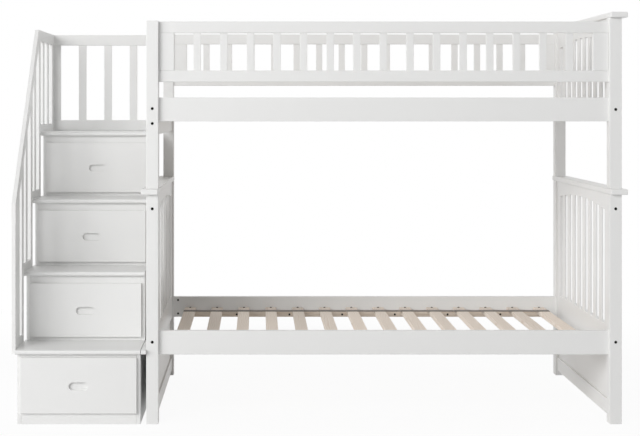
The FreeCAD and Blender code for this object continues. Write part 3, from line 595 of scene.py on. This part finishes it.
# %% Dress the frame
ALONG_X, ALONG_Y, ALONG_Z = lacquer_along
FINISHES = {
    "post_pins": zinc, "barrel_nuts": black_oxide, "frame_bolts": black_oxide,
    "post_": ALONG_Z, "side_rail_": ALONG_X,
    "guard_front_rails": ALONG_X, "guard_rear_rails": ALONG_X, "guard_": ALONG_Z,
    "end_lower_left_panel": lacquer_on_board, "end_lower_right_panel": lacquer_on_board,
    "end_lower_left_spindles": ALONG_Z, "end_lower_right_spindles": ALONG_Z,
    "end_upper_right_spindles": ALONG_Z, "end_": ALONG_Y,
    "slats_": slat_wood, "slat_ledgers": ledger_wood, "slat_straps": tape_weave,
    "drawer_1_front": lacquer_on_board, "drawer_2_front": lacquer_on_board,
    "drawer_3_front": lacquer_on_board, "drawer_4_front": lacquer_on_board, "drawer_": plywood,
    "handrail": ALONG_Y, "railing_rails": ALONG_Y, "railing_": ALONG_Z,
    "landing_guard": ALONG_X, "stair_treads": ALONG_X, "stair_": lacquer_on_board,
}
for name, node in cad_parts.items():
    finish = next(wanted for start, wanted in FINISHES.items() if name.startswith(start))
    for slot in node.material_slots:
        slot.material = finish
print("dressed:", len(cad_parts), "nodes")

# %% [markdown]
# ## A new piece
# Every added piece is shaped in a bmesh in its place in the frame, then handed over here: it
# becomes an object at the origin with one finish, and moves with the bed.
# Small pieces that repeat, such as staples, are shaped one at a time and poured into one bmesh.

# %% Make a piece
BUNKS = ("lower", "upper")
SIDES = {"front": -1, "rear": 1}


def make_piece(name, shape, finish):
    """Turn a bmesh into a piece that rides on the bed."""
    bmesh.ops.recalc_face_normals(shape, faces=shape.faces)
    mesh = bpy.data.meshes.new(name)
    shape.to_mesh(mesh)
    shape.free()
    mesh.materials.append(finish)
    piece = bpy.data.objects.new(name, mesh)
    bpy.context.collection.objects.link(piece)
    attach(piece, "bed")
    print("piece:", name, len(mesh.polygons), "faces")
    return piece


def pour(small, shape):
    """Add a small bmesh to a larger one."""
    mesh = bpy.data.meshes.new("poured")
    small.to_mesh(mesh)
    small.free()
    shape.from_mesh(mesh)
    bpy.data.meshes.remove(mesh)


def only(kind, parts):
    """The vertices or the edges among the parts that an operator made."""
    return [part for part in parts if isinstance(part, kind)]


print("bunks:", *BUNKS, "sides:", *SIDES)

# %% [markdown]
# ## Tapes over the slats
# A tape lies flat on each slat and dips a little in each gap, because nothing holds it there. It
# could be simulated, but the dip is a plain arc, so a strip of small faces is lowered by a formula
# and then given its thickness.

# %% Tapes
TAPE_WIDTH = 50 * MM
TAPE_THICKNESS = 1.2 * MM
TAPE_INSET = 92 * MM
TAPE_DIP = 1 * MM
STEPS_PER_PITCH = 12
slat_gap = slat_pitch - SLAT_WIDTH


def tape_dip(x):
    """How far the tape hangs below the slats' tops at a place along the bed."""
    past_slat = (x - slats_low.x) % slat_pitch - SLAT_WIDTH
    return TAPE_DIP * math.sin(math.pi * past_slat / slat_gap) if past_slat > 0 else 0.0


def tape_middle(high, sign):
    """Where the middle of a tape lies across the bed."""
    return sign * (high.y - TAPE_INSET - TAPE_WIDTH / 2)


for bunk in BUNKS:
    low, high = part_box(f"slats_{bunk}")
    for side, sign in SIDES.items():
        shape = bmesh.new()
        bmesh.ops.create_grid(
            shape, x_segments=STEPS_PER_PITCH * SLAT_COUNT, y_segments=2, size=0.5)
        bmesh.ops.scale(shape, verts=shape.verts, vec=(high.x - low.x, TAPE_WIDTH, 1))
        middle = ((low.x + high.x) / 2, tape_middle(high, sign), high.z)
        bmesh.ops.translate(shape, verts=shape.verts, vec=middle)
        for vert in shape.verts:
            vert.co.z -= tape_dip(vert.co.x)
        bmesh.ops.solidify(shape, geom=shape.faces[:], thickness=-TAPE_THICKNESS)
        tape = make_piece(f"tape_{bunk}_{side}", shape, tape_weave)
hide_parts("slat_straps")

# %% [markdown]
# ## Staples
# Wire staples pin the tapes to the slats. One is a bent round wire: a small ring of points is spun
# through a quarter turn, drawn across, and spun down again. A curve with a round profile would do
# as well, but this gives a closed mesh at once.

# %% One staple
STAPLE_CROWN = 10 * MM
STAPLE_BEND = 1.0 * MM
WIRE_RADIUS, WIRE_SIDES = 0.6 * MM, 6
BEND = {"axis": (0, 1, 0), "angle": math.pi / 2, "steps": 3}


def add_staple(shape, place):
    """One staple whose crown lies along X."""
    wire = bmesh.new()
    ring = bmesh.ops.create_circle(wire, segments=WIRE_SIDES, radius=WIRE_RADIUS)["verts"]
    bmesh.ops.translate(wire, verts=ring, vec=(-STAPLE_CROWN / 2, 0, -STAPLE_BEND))
    left = (-STAPLE_CROWN / 2 + STAPLE_BEND, 0, -STAPLE_BEND)
    right = (STAPLE_CROWN / 2 - STAPLE_BEND, 0, -STAPLE_BEND)
    turn = bmesh.ops.spin(wire, geom=wire.edges[:], cent=left, **BEND)["geom_last"]
    across = bmesh.ops.extrude_edge_only(wire, edges=only(bmesh.types.BMEdge, turn))["geom"]
    bmesh.ops.translate(wire, verts=only(bmesh.types.BMVert, across),
                        vec=(STAPLE_CROWN - 2 * STAPLE_BEND, 0, 0))
    bmesh.ops.spin(wire, geom=only(bmesh.types.BMEdge, across), cent=right, **BEND)
    bmesh.ops.holes_fill(wire, edges=wire.edges)
    bmesh.ops.translate(wire, verts=wire.verts, vec=place)
    pour(wire, shape)


print("staple: crown", STAPLE_CROWN / MM, "mm, wire", 2 * WIRE_RADIUS / MM, "mm")

# %% [markdown]
# ## Staples on every slat
# Two staples hold each tape on each slat, a quarter of the tape's width to either side of its
# middle. Their crowns lie on the tape, in the middle of the slat.

# %% Staples on every slat
STAPLE_OFFSETS = (-TAPE_WIDTH / 4, TAPE_WIDTH / 4)


def slat_middles(low):
    """Where the middle of each slat lies along the bed."""
    return [low.x + slat_pitch * number + SLAT_WIDTH / 2 for number in range(SLAT_COUNT)]


for bunk in BUNKS:
    low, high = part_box(f"slats_{bunk}")
    shape = bmesh.new()
    for x in slat_middles(low):
        for sign in SIDES.values():
            for offset in STAPLE_OFFSETS:
                y = tape_middle(high, sign) + offset
                add_staple(shape, (x, y, high.z + TAPE_THICKNESS))
    make_piece(f"tape_staples_{bunk}", shape, zinc)

# %% [markdown]
# ## Wood screws
# A screw with a domed pan head holds each slat end, and a row of them holds each ledger to its
# rail. Only the head shows. Rings of twelve points are stacked into the dome and bridged. The
# innermost ring becomes the outline of a cross: the points near the axes go out to the ends of its
# arms, the others into its inner corners, and the cross is then pushed down into the head.

# %% One screw head
HEAD_PROFILE = [
    (4.8 * MM, -0.8 * MM), (4.8 * MM, 1.2 * MM), (4.3 * MM, 2.2 * MM), (3.3 * MM, 2.8 * MM)]
CROSS_HEIGHT = 3.0 * MM
CROSS_REACH = 2.4 * MM
CROSS_HALF_WIDTH = 0.7 * MM
CROSS_DEPTH = 1.8 * MM
CROSS_POINTS = 12
ARM_END = 0.9 * CROSS_REACH


def shape_cross(ring):
    """Move a ring of points to the outline of a cross."""
    for vert in ring:
        x, y = vert.co.x, vert.co.y
        reach = CROSS_REACH if max(abs(x), abs(y)) > ARM_END else CROSS_HALF_WIDTH
        vert.co.x = math.copysign(reach if abs(x) > abs(y) else CROSS_HALF_WIDTH, x)
        vert.co.y = math.copysign(reach if abs(y) > abs(x) else CROSS_HALF_WIDTH, y)


def ring_edges(ring):
    """The edges of a ring, each once, always in the same order."""
    return list(dict.fromkeys(edge for vert in ring for edge in vert.link_edges))


def add_screw(shape, place, facing):
    """One pan head on a face that looks along a direction."""
    head = bmesh.new()
    half_step = Matrix.Rotation(math.pi / CROSS_POINTS, 4, "Z")
    loops = []
    for radius, height in HEAD_PROFILE + [(CROSS_REACH, CROSS_HEIGHT)]:
        there = Matrix.Translation((0, 0, height)) @ half_step
        ring = bmesh.ops.create_circle(
            head, segments=CROSS_POINTS, radius=radius, matrix=there)["verts"]
        loops.append(ring_edges(ring))
    shape_cross(ring)
    for lower, upper in zip(loops, loops[1:]):
        bmesh.ops.bridge_loops(head, edges=lower + upper)
    sunk = bmesh.ops.extrude_edge_only(head, edges=loops[-1])["geom"]
    bmesh.ops.translate(head, verts=only(bmesh.types.BMVert, sunk), vec=(0, 0, -CROSS_DEPTH))
    bmesh.ops.contextual_create(head, geom=only(bmesh.types.BMEdge, sunk))
    bmesh.ops.contextual_create(head, geom=loops[0])
    bmesh.ops.recalc_face_normals(head, faces=head.faces)
    turn = Vector((0, 0, 1)).rotation_difference(Vector(facing)).to_matrix().to_4x4()
    bmesh.ops.transform(head, matrix=Matrix.Translation(place) @ turn, verts=head.verts)
    pour(head, shape)


print("screw head:", 2 * HEAD_PROFILE[0][0] / MM, "mm wide")

# %% [markdown]
# ## Screws in the slats
# One screw goes down through each end of each slat into the ledger below, in the middle of the
# slat's width. All the screws of a bunk make one piece, because they share a finish and never move
# apart.

# %% Screws in the slats
SLAT_SCREW_INSET = 12 * MM

for bunk in BUNKS:
    low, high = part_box(f"slats_{bunk}")
    shape = bmesh.new()
    for x in slat_middles(low):
        for sign in SIDES.values():
            add_screw(shape, (x, sign * (high.y - SLAT_SCREW_INSET), high.z), (0, 0, 1))
    make_piece(f"slat_screws_{bunk}", shape, black_oxide)

# %% [markdown]
# ## Screws in the ledgers
# The ledgers are screwed to the inside of the long rails, half way up: one screw near each end, and
# the others at an even pitch between. Their heads look at each other across the bed.

# %% Screws in the ledgers
LEDGER_DEPTH = 22 * MM
LEDGER_HEIGHT = 25 * MM
LEDGER_END_INSET = 30 * MM
LEDGER_FIRST = 258.5 * MM
LEDGER_PITCH = 262.3 * MM
LEDGER_PITCH_COUNT = 6

for bunk in BUNKS:
    low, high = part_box(f"slats_{bunk}")
    rail_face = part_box(f"side_rail_{bunk}_rear")[0].y
    shape = bmesh.new()
    between = [low.x + LEDGER_FIRST + LEDGER_PITCH * n for n in range(LEDGER_PITCH_COUNT)]
    for x in [low.x + LEDGER_END_INSET, *between, high.x - LEDGER_END_INSET]:
        for sign in SIDES.values():
            y = sign * (rail_face - LEDGER_DEPTH)
            add_screw(shape, (x, y, low.z - LEDGER_HEIGHT / 2), (0, -sign, 0))
    make_piece(f"ledger_screws_{bunk}", shape, black_oxide)

# %% [markdown]
# ## Size
# The box of the dressed bed is worked out at the end, as that of the frame was at the start.

# %% Size of the dressed bed
low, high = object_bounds()
